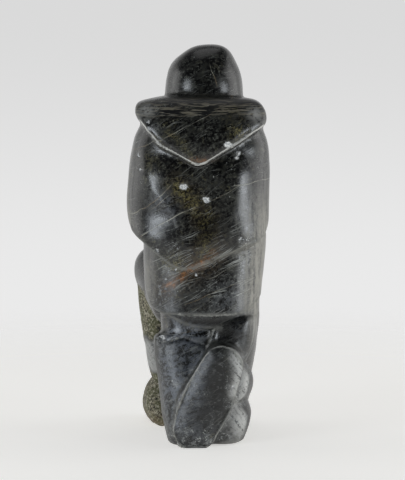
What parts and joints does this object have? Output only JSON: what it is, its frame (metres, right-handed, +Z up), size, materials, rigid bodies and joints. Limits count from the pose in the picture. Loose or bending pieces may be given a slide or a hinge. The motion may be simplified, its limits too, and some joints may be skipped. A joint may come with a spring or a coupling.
{
  "type": "soapstone hunter sculpture",
  "caption": "Dark soapstone carving of a hunter in a hooded coat, kneeling on the right knee, seated on the upturned boot sole.",
  "frame": {"origin": "on the ground, under the middle of the box that the figure fills", "axes": "+Z up, +Y the way the hunter faces, +X the hunter's right-hand side"},
  "size_m": [0.0988, 0.1384, 0.2724],
  "materials": {
    "soapstone": "polished"
  },
  "bodies": {
    "root": {"hunter_figure": "soapstone"}
  },
  "joints": []
}
